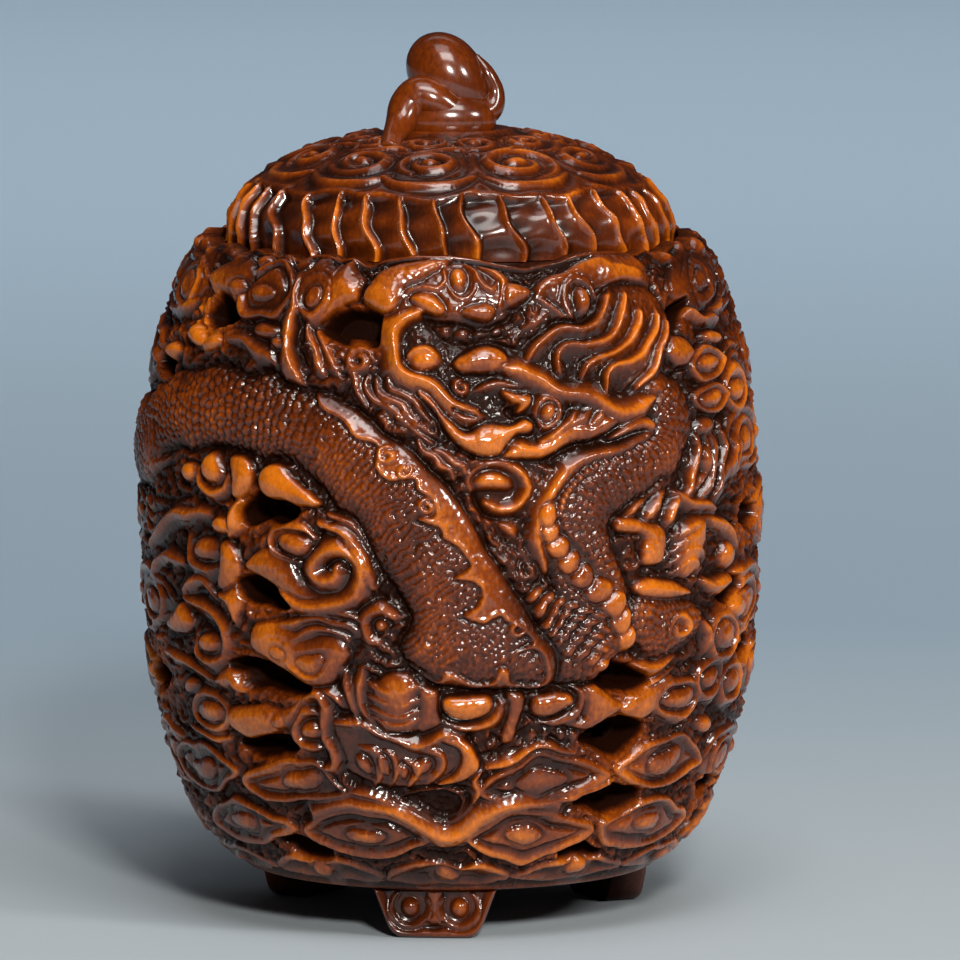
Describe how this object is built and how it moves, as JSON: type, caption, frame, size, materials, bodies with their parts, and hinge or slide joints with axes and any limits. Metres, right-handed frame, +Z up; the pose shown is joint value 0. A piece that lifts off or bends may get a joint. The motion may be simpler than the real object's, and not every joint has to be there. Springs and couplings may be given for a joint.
{
  "type": "carved insect cage",
  "caption": "Barrel-shaped carved wooden insect cage with a pierced dragon-and-cloud wall, scroll feet and a fluted lift-off lid with a swirl knob.",
  "frame": {"origin": "on the table, under the middle of the barrel", "axes": "+Z up through the knob, -Y towards the front that the dragon's head is on, +X to the right"},
  "size_m": [0.0554, 0.0558, 0.0779],
  "materials": {
    "boxwood": "waxed and polished, dark stain in the carving",
    "inner_wood": "dull, oiled",
    "bamboo": "bare"
  },
  "bodies": {
    "cage": {"cage_body": "boxwood", "floor_disc": "inner_wood", "foot_front": "boxwood", "foot_right": "boxwood", "foot_left": "boxwood", "foot_peg_front": "bamboo", "foot_peg_right": "bamboo", "foot_peg_left": "bamboo"},
    "lid": {"lid": "boxwood", "lid_collar": "inner_wood", "knob": "boxwood"}
  },
  "joints": [
    {"name": "lid_lift", "type": "slide", "parent": "cage", "child": "lid", "axis": [0, 0, 1], "range_m": [0, 0.025]}
  ]
}
